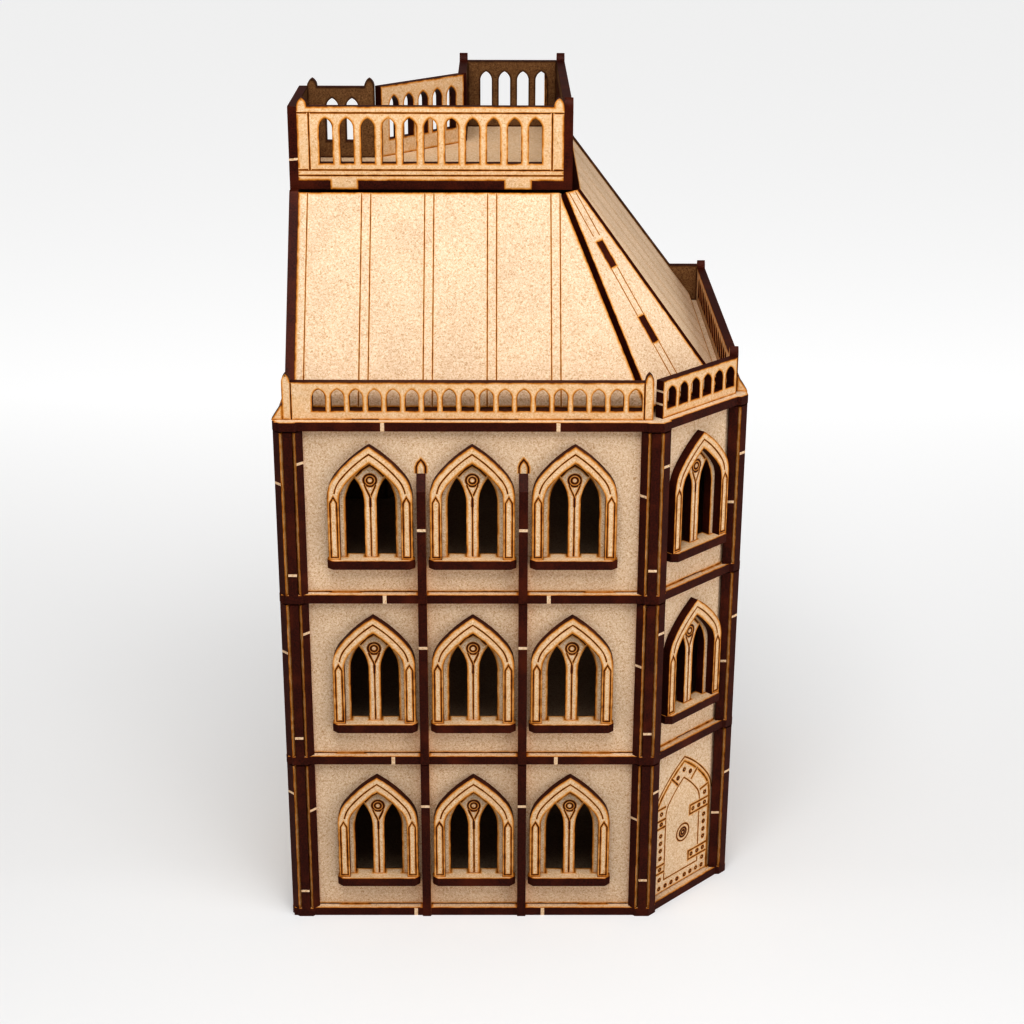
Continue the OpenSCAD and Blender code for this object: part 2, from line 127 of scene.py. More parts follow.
def fibreboard(name, dark, face, pale, scorches):
    """Raw medium-density fibreboard, laser-cut: matt felted wood fibre with fine flecks, and a
    scorch beside the cuts that deepens through four tones, the last of them at the cut."""
    mat = bpy.data.materials.new(name)
    mat.use_nodes = True
    tree = mat.node_tree
    shader = tree.nodes["Principled BSDF"]
    shader.inputs["Roughness"].default_value = 0.85
    shader.inputs["Specular IOR Level"].default_value = 0.15
    place = add_node(tree, "ShaderNodeTexCoord").outputs["Object"]

    # Curled fibres, felted together: their noise repeats every 0.7 mm
    fibre = add_node(tree, "ShaderNodeTexNoise", Vector=place, Scale=1 / (0.7 * MM), Detail=4.0,
                     Roughness=0.62, Distortion=1.2)
    tone = add_node(tree, "ShaderNodeValToRGB", Fac=fibre.outputs["Fac"])
    set_ramp(tone, [(0.34, linear(dark)), (0.48, linear(face)), (0.66, linear(pale))])
    # Clouds of denser board, some 20 mm across
    cloud = add_node(tree, "ShaderNodeTexNoise", Vector=place, Scale=1 / (20 * MM), Detail=3.0)
    shade = add_node(tree, "ShaderNodeMapRange", Value=cloud.outputs["Fac"], From_Min=0.3,
                     From_Max=0.7, To_Min=0.94, To_Max=1.05)
    clouded = add_node(tree, "ShaderNodeVectorMath", {"operation": "SCALE"},
                       _0=tone.outputs["Color"], Scale=shade.outputs["Result"])

    # The scorch is uneven along the cut, over lengths of about 3 mm
    burn = add_node(tree, "ShaderNodeAttribute", {"attribute_name": "burn"})
    blotch = add_node(tree, "ShaderNodeTexNoise", Vector=place, Scale=1 / (3.5 * MM), Detail=4.0,
                      Roughness=0.6)
    uneven = add_node(tree, "ShaderNodeMapRange", Value=blotch.outputs["Fac"], From_Min=0.3,
                      From_Max=0.7, To_Min=0.6, To_Max=1.12)
    depth = add_node(tree, "ShaderNodeMath", {"operation": "MULTIPLY"}, _0=burn.outputs["Fac"],
                     _1=uneven.outputs["Result"])
    amount = add_node(tree, "ShaderNodeValToRGB", Fac=depth.outputs["Value"])
    set_ramp(amount, [(0.0, (0, 0, 0, 1)), (0.2, (0.2, 0.2, 0.2, 1)), (0.5, (0.8, 0.8, 0.8, 1)),
                      (0.7, (1, 1, 1, 1))])
    scorch = add_node(tree, "ShaderNodeValToRGB", Fac=depth.outputs["Value"])
    set_ramp(scorch, list(zip((0.0, 0.4, 0.75, 1.0), map(linear, scorches))))
    burnt = add_node(tree, "ShaderNodeMix", {"data_type": "RGBA"}, _0=amount.outputs["Color"],
                     _6=clouded.outputs["Vector"], _7=scorch.outputs["Color"])
    tree.links.new(burnt.outputs[2], shader.inputs["Base Color"])

    # The felt is rough to about a twentieth of a millimetre
    bump = add_node(tree, "ShaderNodeBump", Height=fibre.outputs["Fac"], Strength=0.2,
                    Distance=0.05 * MM)
    tree.links.new(bump.outputs["Normal"], shader.inputs["Normal"])
    return mat


# The clean side of the sheet, warm mid tan with brown flecks
board = fibreboard("raw_fibreboard", "#B08E6A", "#CCB196", "#DDCAB1",
                   ("#D8AA64", "#CA9044", "#A86C24", "#5C3412"))
# Painted shade: the same board in dark brown, for the inner faces of the walls, gables and most
# deck railings
shaded_board = fibreboard("painted_shade_fibreboard", "#4C341E", "#6E5034", "#8A6A48",
                    ("#6A4A2E", "#5C3E24", "#432A16", "#2A180C"))

# The laser-cut edge: dark brown char with a satin bloom, streaked along the beam's path
char = bpy.data.materials.new("charred_fibreboard_edge")
char.use_nodes = True
tree = char.node_tree
shader = tree.nodes["Principled BSDF"]
shader.inputs["Roughness"].default_value = 0.5
shader.inputs["Specular IOR Level"].default_value = 0.12
place = add_node(tree, "ShaderNodeTexCoord").outputs["Object"]
grain = add_node(tree, "ShaderNodeTexNoise", Vector=place, Scale=1 / (0.6 * MM), Detail=3.0)
smear = add_node(tree, "ShaderNodeTexNoise", Vector=place, Scale=1 / (11 * MM), Detail=2.0)
soot = add_node(tree, "ShaderNodeValToRGB", Fac=grain.outputs["Fac"])
set_ramp(soot, [(0.3, linear("#2B110A")), (0.75, linear("#4D2014"))])
warm = add_node(tree, "ShaderNodeMapRange", Value=smear.outputs["Fac"], From_Min=0.5,
                From_Max=0.75, To_Min=0.0, To_Max=0.5)
mixed = add_node(tree, "ShaderNodeMix", {"data_type": "RGBA"}, _0=warm.outputs["Result"],
                 _6=soot.outputs["Color"], _7=linear("#5E2A14"))
tree.links.new(mixed.outputs[2], shader.inputs["Base Color"])
bump = add_node(tree, "ShaderNodeBump", Height=grain.outputs["Fac"], Strength=0.15,
                Distance=0.05 * MM)
tree.links.new(bump.outputs["Normal"], shader.inputs["Normal"])

# Material slots of every piece cut from the sheet
FACE, CUT, BACK = 0, 1, 2
# A point that every wall and every railing of the building turns its inner face to, mm
MIDDLE = Vector((0, -4.5, 0))
SQUARE = 0.995    # a face is square to a direction if the cosine between them is above this
FLAT = math.radians(0.2)    # neighbouring faces closer than this in angle are one flat face
WELD = 0.001      # corners closer than this are one corner, mm


def sheet_faces(bm, across):
    """The faces that were the sheet's own surface. On each loose piece they are the faces
    square to one direction: the one given for its middle, or the one that holds most area."""
    seen = set()
    found = []
    for start in bm.faces:
        if start in seen:
            continue
        seen.add(start)
        island = [start]
        for face in island:
            for edge in face.edges:
                for other in edge.link_faces:
                    if other not in seen:
                        seen.add(other)
                        island.append(other)
        if across:
            middle = sum((f.calc_center_bounds() for f in island), Vector()) / len(island)
            direction = across(middle)
        else:
            direction = max(island, key=lambda f: f.calc_area()).normal
        found += [f for f in island if abs(f.normal.dot(direction)) > SQUARE]
    return found


def finish(bm, name, node, materials):
    """Turns a mesh into a piece that moves with the body of a CAD node."""
    mesh = bpy.data.meshes.new(name)
    bm.to_mesh(mesh)
    bm.free()
    if "custom_normal" in mesh.attributes:
        mesh.attributes.remove(mesh.attributes["custom_normal"])
    for material in materials:
        mesh.materials.append(material)
    piece = bpy.data.objects.new(name, mesh)
    scene.collection.objects.link(piece)
    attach(piece, frame["nodes"][node]["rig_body"])
    return piece


def scorched(node, band=SCORCH, across=None, shade_inside=False, haze=0.0):
    """Stands a finished copy in for a CAD piece: a scorched band of this many millimetres
    inside every cut, a haze of scorch between the bands, char on the cut edges and, if asked,
    painted shade (a dark brown board) on the inner face."""
    bm = bmesh.new()
    bm.from_mesh(frame["nodes"][node].data)
    bmesh.ops.remove_doubles(bm, verts=bm.verts, dist=WELD * MM)
    bmesh.ops.dissolve_limit(bm, angle_limit=FLAT, verts=bm.verts, edges=bm.edges)
    burn = bm.verts.layers.float.new("burn")
    faces = sheet_faces(bm, across)
    for face in bm.faces:
        face.smooth = False
        face.material_index = CUT
    for face in faces:
        inward = face.normal.dot(MIDDLE * MM - face.calc_center_median()) > 0
        # Inner faces take the dark brown board of painted shade, when asked
        face.material_index = BACK if shade_inside and inward else FACE
    for vert in bm.verts:
        vert[burn] = 1.0
    bmesh.ops.connect_verts_concave(bm, faces=faces)
    faces = [f for f in bm.faces if f.material_index != CUT]
    bmesh.ops.inset_region(bm, faces=faces, thickness=band * MM, use_boundary=True,
                           use_even_offset=True)
    for vert in {v for f in faces for v in f.verts}:
        vert[burn] = haze
    piece = finish(bm, node + "_finish", node, (board, char, shaded_board))
    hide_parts(node)
    return piece


def facade(x, y, turn):
    """Stands the XZ plane along a wall, in mm: X along it, -Y out of the building."""
    return (Matrix.Translation(Vector((x, y, 0)) * MM)
            @ Matrix.Rotation(math.radians(turn), 4, "Z") @ Matrix.Scale(MM, 4))


# The turrets' centres, where the walls' centre lines meet, mm
TURRETS = [(-85.25, -84.45), (52.25, -84.45), (84.45, -52.25), (84.45, 85.25)]
FRONT = facade(*TURRETS[0], 0)
CORNER = facade(*TURRETS[1], 45)
RIGHT = facade(*TURRETS[2], 90)
WALL_FACE = SHEET / 2
LEDGE = 4.9      # from the walls' centre line to the plates' edge, mm
STOREY = 70      # from one plate to the next, mm
STOREYS = {"ground": 0, "middle": STOREY, "top": 2 * STOREY}
LEAST = 0.5      # keeps the mitre of a drawn line short where it turns back on itself


def layer(bm):
    """The mesh's scorch values, from 1 at a cut to 0 on clean board."""
    return bm.verts.layers.float.get("burn") or bm.verts.layers.float.new("burn")


def drawn_line(bm, where, out, path, width=0.36, fade=0.6, closed=False, rest=0.0):
    """Draws a burnt line along a path of X and Z: a charred core and, on each side, a strip of
    board whose scorch fades outwards. It lies on a plane this far out of the wall's middle."""
    burn = layer(bm)
    spots = [Vector(p) for p in path]
    count = len(spots)
    if closed:
        spots.append(spots[0])
    ways = [(b - a).normalized() for a, b in zip(spots, spots[1:])]
    steps = (-width / 2 - fade, -width / 2, width / 2, width / 2 + fade)
    lift = out + PROUD + len(bm.verts) * STEP
    grid = bmesh.ops.create_grid(bm, x_segments=len(ways), y_segments=3, size=0.5)["verts"]
    core = set()
    for vert in grid:
        i = round((vert.co.x + 0.5) * len(ways))
        j = round((vert.co.y + 0.5) * 3)
        before = ways[i - 1] if i > 0 or closed else ways[0]
        after = ways[i % count] if i < len(ways) or closed else ways[-1]
        left = Vector((-before.y - after.y, before.x + after.x))
        left /= max(LEAST, 1 + before.dot(after))
        spot = spots[i] + left * steps[j]
        vert[burn] = rest
        if j in (1, 2):
            vert[burn] = 1.0
            core.add(vert)
        vert.co = where @ Vector((spot.x, -lift, spot.y))
    for face in {f for v in grid for f in v.link_faces}:
        face.material_index = CUT if core.issuperset(face.verts) else FACE


def patch(bm, where, out, points, level=0.1):
    """Lays a flat patch of clean board on a plane this far out of the wall's middle."""
    burn = layer(bm)
    verts = [bm.verts.new(where @ Vector((x, -out - PROUD, z))) for x, z in points]
    for vert in verts:
        vert[burn] = level
    made = bmesh.ops.contextual_create(bm, geom=verts)["faces"]
    outward = where.to_3x3() @ Vector((0, -1, 0))
    for face in made:
        face.material_index = FACE
        face.normal_update()
        if face.normal.dot(outward) < 0:
            face.normal_flip()


def block(x, z, wide, tall, slant=0.0):
    """Corners of a small patch round a middle point, its right end raised by the slant."""
    return [(x - wide / 2, z - tall / 2), (x + wide / 2, z - tall / 2 + slant),
            (x + wide / 2, z + tall / 2 + slant), (x - wide / 2, z + tall / 2)]


for storey in STOREYS:
    scorched(storey + "_floor_plate", band=1.5)
for storey in ("middle", "top", "roof"):
    scorched(storey + "_locating_plate")

# Small bridges held each plate in its sheet; snapping them off left pale marks on the edge
PLATE_MARKS = {"ground": (45.0, 96.8), "middle": (36.9, 101.5), "top": (34.9, 98.0)}
for storey, base in STOREYS.items():
    bm = bmesh.new()
    for x in PLATE_MARKS[storey]:
        patch(bm, FRONT, LEDGE, block(x, base + SHEET / 2, SNAP_WIDTH, SHEET))
    finish(bm, storey + "_plate_snap_marks", storey + "_floor_plate", (board,))


# ---- Walls --------------------------------------------------------------------------
# Flat panels of the same board. The window lights are cut through them, and the tracery
# between the lights is burnt into the face as fine lines. Their inner faces carry painted shade.
WINDOWS = (30.1, 68.75, 107.4)   # middles of one wall's windows, mm along it
DOOR_MIDDLE = 22.77              # middle of the corner wall
TABS = (14.5, 25.3)              # the first tab of a long wall, mm along it
CORNER_TAB_GAP = (17, 28.5)      # the joint between the corner wall's tabs, mm along it
FRONT_LENGTH = 137.5
WALL_END = 5                     # start of the foot's joint, behind the turret strips, mm
FOOT = 0.12                      # height of the dark joint's middle above the plate, mm

TRACERY_ARCH = [(-5.3, 51.0), (-2.8, 53.7), (0, 55.5), (2.8, 53.7), (5.3, 51.0)]
TEARDROP = [(2.1, 47.6), (1.7, 46.4), (0.9, 44.6), (0.3, 43.3), (0, 42.2)]
RING_HEIGHT = 49.4       # of the rings' middle above the plate's underside
RINGS = ((2.4, 0.55), (1.25, 0.5))       # radius and line width of each
STEM_HEAD, STEM_NECK, STEM_FOOT = 42.2, 38.6, 18.4       # the line is thicker above the neck


def ring(x, z, radius, sides=24):
    """Points of a circle."""
    turns = [2 * math.pi * i / sides for i in range(sides)]
    return [(x + radius * math.cos(t), z + radius * math.sin(t)) for t in turns]


def tracery(bm, where, x, base):
    """The burnt tracery of one window: an arched line, two rings, a teardrop and a stem."""
    def at(points):
        return [(x + p, base + q) for p, q in points]
    drawn_line(bm, where, WALL_FACE, at(TRACERY_ARCH), fade=0.8)
    for radius, width in RINGS:
        drawn_line(bm, where, WALL_FACE, at(ring(0, RING_HEIGHT, radius)), width, fade=0.3,
                   closed=True, rest=0.55)
    for side in (1, -1):
        drawn_line(bm, where, WALL_FACE, at([(side * p, q) for p, q in TEARDROP]), width=0.4,
                   fade=0.35, rest=0.45)
    drawn_line(bm, where, WALL_FACE, at([(0, STEM_HEAD), (0, STEM_NECK)]), width=0.7, fade=0.3,
               rest=0.5)
    drawn_line(bm, where, WALL_FACE, at([(0, STEM_NECK), (0, STEM_FOOT)]), width=0.34, fade=0.4,
               rest=0.25)


def foot_line(bm, where, a, b, z):
    """The dark joint between a wall's foot and its plate."""
    drawn_line(bm, where, WALL_FACE, [(a, z), (b, z)], width=0.3, fade=0.2, rest=0.95)


for storey, base in STOREYS.items():
    for wall in ("front_wall", "corner_wall", "right_wall", "rear_wall", "left_wall",
                 "back_walls"):
        # Painted shade on the walls' inner faces
        scorched(storey + "_" + wall, shade_inside=True)

    # Burnt tracery, and a dark joint along the foot of each wall between its tabs
    foot = base + SHEET + FOOT
    for wall, where in (("front_wall", FRONT), ("right_wall", RIGHT)):
        bm = bmesh.new()
        for x in WINDOWS:
            tracery(bm, where, x, base)
        for a, b in ((WALL_END, TABS[0]), (TABS[1], FRONT_LENGTH - TABS[1]),
                     (FRONT_LENGTH - TABS[0], FRONT_LENGTH - WALL_END)):
            foot_line(bm, where, a, b, foot)
        finish(bm, storey + "_" + wall + "_lines", storey + "_" + wall,
               (board, char))
    if storey != "ground":
        bm = bmesh.new()
        tracery(bm, CORNER, DOOR_MIDDLE, base)
        foot_line(bm, CORNER, *CORNER_TAB_GAP, foot)
        finish(bm, storey + "_corner_wall_lines", storey + "_corner_wall",
               (board, char))


# ---- Turret strips ------------------------------------------------------------------
# Narrow strips stand on edge round each turret, so it is their charred edges that face
# outwards. They are glued to the walls' ends and to the pads. The snapped-off bridges left
# pale marks across the char at set heights.
def strip_way(middle):
    """The way that a strip's flat side faces: square to its line from the turret's centre."""
    centre = min(TURRETS, key=lambda t: (Vector(t) * MM - middle.xy).length)
    line = middle.xy - Vector(centre) * MM
    turn = round(math.atan2(line.y, line.x) / math.radians(45)) * math.radians(45)
    return Vector((-math.sin(turn), math.cos(turn), 0))


PAD = 5.7          # from the turret's centre to the outer edge of a straight strip, mm
CORNER_PAD = 6.03  # and of a diagonal one, mm
# Height of each snap mark above the storey's plate, by the strip's turn in degrees
STRIP_MARKS = {
    "ground": {0: {-45: 57, 0: 12, 45: 49}, 1: {-45: 45, 0: 17, 45: 57}, 2: {0: 30, 45: 49}},
    "middle": {0: {-45: 49, 0: 12, 45: 57}, 1: {-45: 43, 0: 14, 45: 57}, 2: {0: 30.5, 45: 50}},
    "top": {0: {-45: 49, 0: 12, 45: 57}, 1: {-45: 44, 0: 14, 45: 56}, 2: {0: 30, 45: 50}},
}
for storey, base in STOREYS.items():
    scorched(storey + "_turret_strips", band=0.9, across=strip_way, haze=0.45)
    bm = bmesh.new()
    for turret, marks in STRIP_MARKS[storey].items():
        for turn, height in marks.items():
            where = facade(*TURRETS[turret], turn)
            out = PAD if turn % 90 == 0 else CORNER_PAD
            patch(bm, where, out, block(0, base + height, SHEET, tall=1.1))
    finish(bm, storey + "_strip_snap_marks", storey + "_turret_strips", (board,))


# ---- Pilasters ----------------------------------------------------------------------
# Strips on edge between the windows, notched over the plates. The top storey's end in a
# slanted head, and a pointed cap is burnt into the wall above each.
PILASTERS = (49.4, 88.1)
PILASTER_MARKS = {"ground": 51.3, "middle": 121.4, "top": 170.6}
# The right half of the cap that is burnt into the wall, from its foot to its tip
CAP = [(1.75, 192.2), (1.75, 194.8), (1.085, 196.4), (0, 197.7)]
for storey in STOREYS:
    scorched(storey + "_pilasters", band=0.9, haze=0.45)
    bm = bmesh.new()
    for where in (FRONT, RIGHT):
        for x in PILASTERS:
            patch(bm, where, PAD, block(x, PILASTER_MARKS[storey], SHEET, tall=1.2))
    finish(bm, storey + "_pilaster_snap_marks", storey + "_pilasters", (board,))
bm = bmesh.new()
for where in (FRONT, RIGHT):
    for x in PILASTERS:
        cap = [(x - p, z) for p, z in CAP] + [(x + p, z) for p, z in CAP[-2::-1]]
        patch(bm, where, WALL_FACE, cap, level=0.05)
        drawn_line(bm, where, WALL_FACE + PROUD, cap, width=0.5, fade=0.9)
finish(bm, "pilaster_caps", "top_front_wall", (board, char))


# ---- Window frames ------------------------------------------------------------------
# Pointed frames are glued on the walls over their own sills. Each is burnt with a line that
# follows the arch and with a slim pointed panel on both limbs.
FRAME_WIDTH = 32.2
FRAME_SPRING = 43.4      # height where the frame's arch starts, above the plate's underside
HAUNCH, CROWN = math.radians(38), math.radians(58)
HAUNCH_RADIUS = 0.45     # of the arch's width
ARCH_STEPS = 9           # straight pieces of a line along each curve
FRAME_FACE = WALL_FACE + SHEET


def arch_line(width, inset):
    """Right to left along a four-centred arch that starts at this width, drawn in by the
    inset: a tight haunch and a flatter crown that comes to a point."""
    r1 = HAUNCH_RADIUS * width
    x1 = width / 2 - r1
    r2 = (x1 + r1 * math.cos(HAUNCH)) / (math.cos(HAUNCH) - math.cos(CROWN))
    x2 = x1 + (r1 - r2) * math.cos(HAUNCH)
    y2 = (r1 - r2) * math.sin(HAUNCH)
    last = math.acos(-x2 / (r2 - inset))
    side = [(x1 + (r1 - inset) * math.cos(HAUNCH * i / ARCH_STEPS),
             (r1 - inset) * math.sin(HAUNCH * i / ARCH_STEPS)) for i in range(ARCH_STEPS)]
    for i in range(ARCH_STEPS + 1):
        a = HAUNCH + (last - HAUNCH) * i / ARCH_STEPS
        side.append((x2 + (r2 - inset) * math.cos(a), y2 + (r2 - inset) * math.sin(a)))
    return side + [(-x, z) for x, z in side[-2::-1]]


LIMB, LIMB_HALF, LIMB_FOOT, LIMB_SHOULDER, LIMB_TIP = 13.8, 1.3, 19.3, 41.4, 43.7
ARCH_INSET, ARCH_START = 2.6, 1.4


def frame_lines(bm, where, x, base):
    """The burnt lines of one frame."""
    arch = [(x + p, base + FRAME_SPRING + q) for p, q in arch_line(FRAME_WIDTH, ARCH_INSET)
            if q > ARCH_START]
    drawn_line(bm, where, FRAME_FACE, arch, width=0.34, fade=0.45)
    for side in (-LIMB, LIMB):
        panel = [(-LIMB_HALF, LIMB_FOOT), (LIMB_HALF, LIMB_FOOT), (LIMB_HALF, LIMB_SHOULDER),
                 (0, LIMB_TIP), (-LIMB_HALF, LIMB_SHOULDER)]
        drawn_line(bm, where, FRAME_FACE, [(x + side + p, base + q) for p, q in panel], fade=0.4,
                   closed=True, rest=0.5)


for storey, base in STOREYS.items():
    scorched(storey + "_window_frames", band=1.1, haze=0.2)
    bm = bmesh.new()
    for where in (FRONT, RIGHT):
        for x in WINDOWS:
            frame_lines(bm, where, x, base)
    if storey != "ground":
        frame_lines(bm, CORNER, DOOR_MIDDLE, base)
    finish(bm, storey + "_frame_lines", storey + "_window_frames", (board, char))


# ---- Window sills -------------------------------------------------------------------
# Flat pieces with clipped corners, tongued into the lights. They stand out past the frames,
# so that their charred front edges show.
for storey in STOREYS:
    scorched(storey + "_window_sills", band=1.1, haze=0.2)


# ---- Door ---------------------------------------------------------------------------
# A loose leaf fills the corner doorway. It is burnt to look like planks held by riveted iron
# bands, with two strap hinges from the right edge and a round boss.
scorched("door_leaf", band=1.0, haze=0.08)
DOOR_WIDTH, DOOR_SPRING = 33.6, 39.0     # the leaf's width, and the height its arch starts at
BAND = 6.1               # width of the iron band round the leaf
INNER_FOOT = 9.2         # height of the band's upper edge along the foot
STRAPS = ((38.0, 34.0), (16.2, 12.2))    # upper and lower edge of each hinge strap
STRAP_END = 4.8          # from the leaf's middle to the straps' free ends
LEFT_JOINTS = (43.8, 38.3, 34.7, 17.0, 13.3)     # heights of the joints across the left band
RIVETS = (
    [(x, 5.9) for x in (-13.6, -9.6, -5.8, -2.0, 2.8, 6.5, 10.2, 13.8)]
    + [(-13.5, z) for z in (41.2, 36.5, 31.0, 27.5, 24.0, 20.4, 15.1, 10.2)]
    + [(14.0, z) for z in (40.9, 30.4, 26.9, 23.3, 19.8, 9.6)]
    + [(x, (a + b) / 2) for a, b in STRAPS for x in (6.7, 10.5, 14.2)]
    + [(0, 56.9), (4.0, 54.6), (-3.8, 54.3)]
)
BOSS = (0.6, 27.2)
BOSS_RINGS = ((3.9, 0.42), (1.9, 1.0), (0.95, 0.7))      # radius and line width of each
# Joints across the band round the arch, from its inner edge to its outer one
ARCH_JOINTS = [((10.7, 43.3), (16.0, 44.4)), ((4.6, 50.6), (8.6, 54.6)),
               ((-3.6, 50.9), (-7.6, 55.2))]
RIVET_RADIUS = 0.62
EDGE_GAP = 0.4           # the lines stop this far from the leaf's edge


def fit(points, x, base=0):
    """Moves points along the wall and up."""
    return [(p + x, q + base) for p, q in points]


bm = bmesh.new()
inner = [(p, DOOR_SPRING + q) for p, q in arch_line(DOOR_WIDTH, BAND)]
panel = [(-DOOR_WIDTH / 2 + BAND, INNER_FOOT), (DOOR_WIDTH / 2 - BAND, INNER_FOOT)] + inner
drawn_line(bm, CORNER, WALL_FACE, fit(panel, DOOR_MIDDLE), width=0.3, fade=0.4, closed=True,
           rest=0.1)
edge = DOOR_WIDTH / 2 - EDGE_GAP
joints = [((-edge, z), (BAND - DOOR_WIDTH / 2, z)) for z in LEFT_JOINTS] + ARCH_JOINTS
for a, b in STRAPS:
    drawn_line(bm, CORNER, WALL_FACE, fit([(edge, a), (STRAP_END, a), (STRAP_END, b), (edge, b)],
                                          DOOR_MIDDLE), fade=0.7, rest=0.2)
for ends in joints:
    drawn_line(bm, CORNER, WALL_FACE, fit(ends, DOOR_MIDDLE), width=0.34, fade=0.7, rest=0.2)
for x, z in RIVETS:
    drawn_line(bm, CORNER, WALL_FACE, fit(ring(x, z, RIVET_RADIUS, sides=12), DOOR_MIDDLE),
               width=0.5, fade=0.37, closed=True, rest=0.45)
for radius, width in BOSS_RINGS:
    drawn_line(bm, CORNER, WALL_FACE, fit(ring(*BOSS, radius), DOOR_MIDDLE), width, fade=0.3,
               closed=True, rest=0.4)
finish(bm, "door_lines", "door_leaf", (board, char))

# The hood line burnt into the wall round the doorway
HOOD = 1.9       # from the doorway to the line, mm
HOOD_START = 2   # height above the start of the arch, mm
bm = bmesh.new()
hood = [(p, DOOR_SPRING + q) for p, q in arch_line(DOOR_WIDTH, -HOOD) if q > HOOD_START]
drawn_line(bm, CORNER, WALL_FACE, fit(hood, DOOR_MIDDLE), width=0.32, fade=0.5)
finish(bm, "door_hood_line", "ground_corner_wall", (board, char))


# ---- Cornice and parapets -----------------------------------------------------------
# The roof's own plate carries three pierced parapets, glued on edge. Each is burnt with a
# line between its end post and the pierced panel, and its tabs show as dark slots below.
CORNICE = 3 * STOREY
LOFT = CORNICE + SHEET
PARAPET = 14.6           # height of a parapet without its post ends
scorched("cornice_plate", band=1.5)
for side in ("front", "corner", "right"):
    scorched(side + "_parapet", band=0.9, haze=0.27)
scorched("parapet_brackets", band=0.8, across=lambda middle: Vector((0, 1, 0)),
         haze=0.3)

CORNICE_MARKS = (35.4, 100.9)
bm = bmesh.new()
for x in CORNICE_MARKS:
    patch(bm, FRONT, LEDGE, block(x, CORNICE + SHEET / 2, SNAP_WIDTH, SHEET))
finish(bm, "cornice_snap_marks", "cornice_plate", (board,))

POST_LINES = (1.5, 132.9)                    # mm along the front parapet
SLOTS = ((24, 34), (51, 86), (103, 113))
CLEAR = 0.2              # between a post line's ends and the parapet's edges
SLOT_LINE = 0.15         # height of the dark slots' middle above the cornice plate
for side, where, flip in (("front", FRONT, 1), ("right", RIGHT, -1)):
    bm = bmesh.new()

    def along(x):
        """Mirrors the places on the right parapet."""
        return x if flip > 0 else FRONT_LENGTH - x
    for x in POST_LINES:
        ends = [(along(x), LOFT + CLEAR), (along(x), LOFT + PARAPET - CLEAR)]
        drawn_line(bm, where, WALL_FACE, ends, width=0.4, fade=0.4, rest=0.2)
    for a, b in SLOTS:
        ends = [(along(a), LOFT + SLOT_LINE), (along(b), LOFT + SLOT_LINE)]
        drawn_line(bm, where, WALL_FACE, ends[::flip], width=0.35, fade=0.4, rest=0.6)
    finish(bm, side + "_parapet_lines", side + "_parapet", (board, char))

# The corner parapet's end edge shows beside the front one, with two snap marks
END_MARKS = (5.5, 10.5)  # heights above the cornice plate, mm
END_IN = 1.7             # from the turret's centre to that edge, mm
bm = bmesh.new()
for z in END_MARKS:
    patch(bm, facade(*TURRETS[1], -45), -END_IN, block(0, LOFT + z, SHEET, tall=0.9))
finish(bm, "parapet_end_snap_marks", "corner_parapet", (board,))


# ---- Gables, roof walls and rib -----------------------------------------------------
# Upright panels under the roof: the gables close its left and back ends, and a rib along the
# corner carries the narrow slope on two tabs.
for part in ("left_gable", "rear_gable", "roof_back_walls", "roof_rib"):
    # Painted shade on the inner faces of all but the rib
    scorched(part, shade_inside=part != "roof_rib")


# ---- Roof slopes --------------------------------------------------------------------
# Three flat panels lean in to the deck, with an open V between neighbours where their
# charred edges show. Pairs of fine lines burnt up the front imitate lead seams.
for side in ("front", "corner", "right"):
    scorched(side + "_slope")

EAVE_IN, EAVE_Z = 4.9, 216.2     # the eave: how far in from the wall's middle, and how high
DECK_TOP = 291.6
RISE = DECK_TOP - EAVE_Z
RUN_FRONT, RUN_CORNER, RUN_RIGHT = 48.8, 58.53, 57.9     # how far each slope leans in by then
SLOPE_TOP = 0.944       # part of the way from the eave to the deck's upper face
SEAM_START = 0.2        # of the seams, from the eave up the slope
SEAMS = (5.2, 26.0, 29.5, 50.2, 53.7, 74.3, 77.8, 98.6, 102.1)


def leaning(where, run):
    """Leans a wall's plane back onto the slope that starts at the eave above it."""
    lean = math.atan2(RISE, run) - math.radians(90)
    return where @ Matrix.Translation((0, EAVE_IN, EAVE_Z)) @ Matrix.Rotation(lean, 4, "X")


for side, where, run in (("front", FRONT, RUN_FRONT), ("right", RIGHT, RUN_RIGHT)):
    bm = bmesh.new()
    top = math.hypot(RISE, run) * SLOPE_TOP
    for seam in SEAMS:
        x = seam if side == "front" else FRONT_LENGTH - seam
        drawn_line(bm, leaning(where, run), 0, [(x, SEAM_START), (x, top)], width=0.17, fade=0.35)
    finish(bm, side + "_slope_seams", side + "_slope", (board, char))

# On the corner slope one pair runs along the rib, broken at the rib's two tabs
RIB_X, RIB_DRIFT = 22.77, -6.44       # the rib's place at the eave, and its drift to the deck
HALF_GAP = 1.75                       # half the distance between the two lines
length = math.hypot(RISE, RUN_CORNER)
RIB_LINES = ((0.3, 23.6), (35.4, 56.4), (70.4, length * SLOPE_TOP))
bm = bmesh.new()
for a, b in RIB_LINES:
    for side in (-HALF_GAP, HALF_GAP):
        drawn_line(bm, leaning(CORNER, RUN_CORNER), 0,
                   [(RIB_X + side + RIB_DRIFT * t / length, t) for t in (a, b)], width=0.17,
                   fade=0.35)
finish(bm, "corner_slope_seams", "corner_slope", (board, char))


# ---- Look-out deck ------------------------------------------------------------------
# The flat deck closes the roof. Two tabs of its front railing show in its front edge.
scorched("deck_plate", haze=0.15)


# ---- Deck railings ------------------------------------------------------------------
# Pierced panels on edge round the deck, with pointed ends on some posts. Burnt lines mark a
# handrail, two base mouldings and the end posts on each outer face.
RAIL_LINES = (293.6, 295.7, 317.5)
RAIL_POST = 4.5          # width of an end post
RAIL_CLEAR = 0.1         # between a line's end and the railing's end
